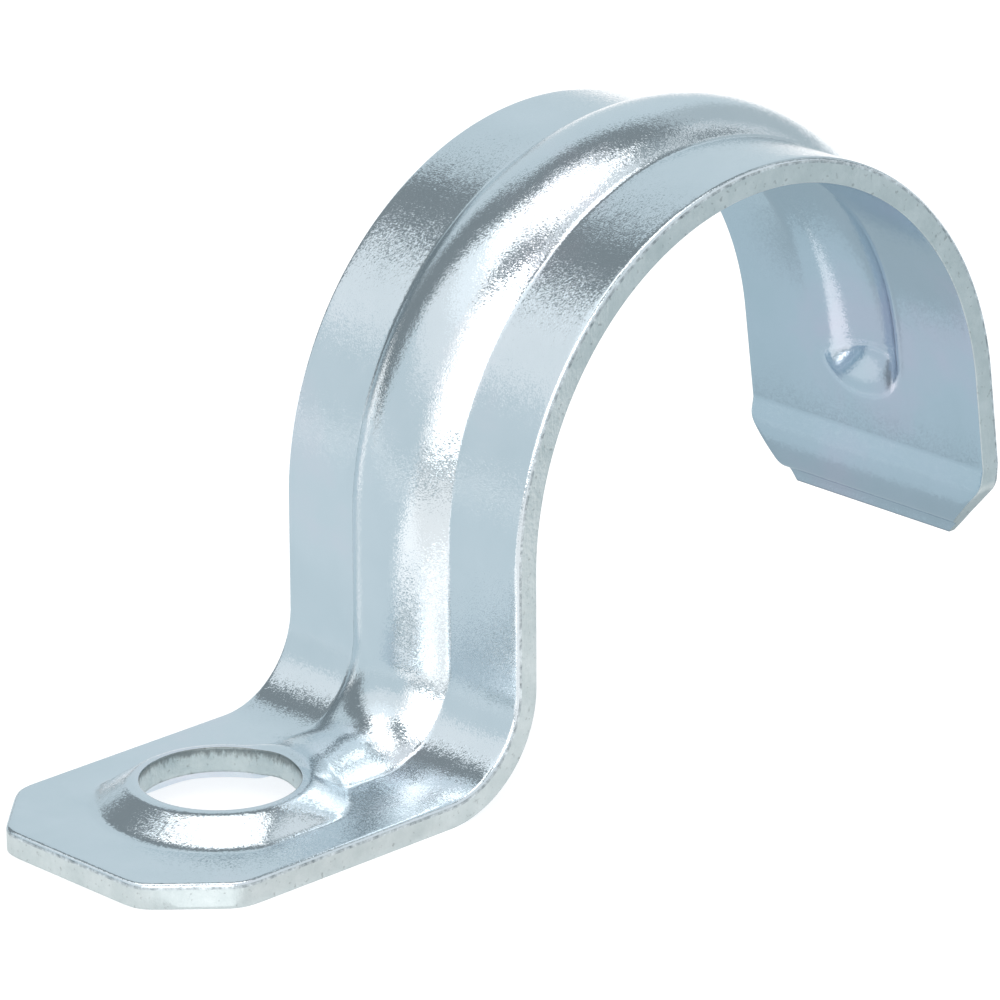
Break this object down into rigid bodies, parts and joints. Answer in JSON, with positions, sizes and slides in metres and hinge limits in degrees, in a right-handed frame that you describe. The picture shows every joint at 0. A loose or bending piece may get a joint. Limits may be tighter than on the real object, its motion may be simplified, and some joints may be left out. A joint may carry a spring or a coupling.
{
  "type": "conduit strap",
  "caption": "One-hole conduit strap: a stamped steel half ring with a stiffening bead, a flat ear with a raised collar round its fixing hole, and a short free toe.",
  "frame": {"origin": "on the conduit's axis, at the middle of the strap's width", "axes": "+X from the ear to the toe, +Y along the conduit, +Z away from the mounting surface; the ear's underside lies 16.2 mm below the origin"},
  "size_m": [0.0801, 0.023, 0.0421],
  "materials": {
    "zinc_plate": "bright zinc plate over stamped steel, pale blue-grey, with a fine grain"
  },
  "bodies": {
    "root": {"strap": "zinc_plate"}
  },
  "joints": []
}
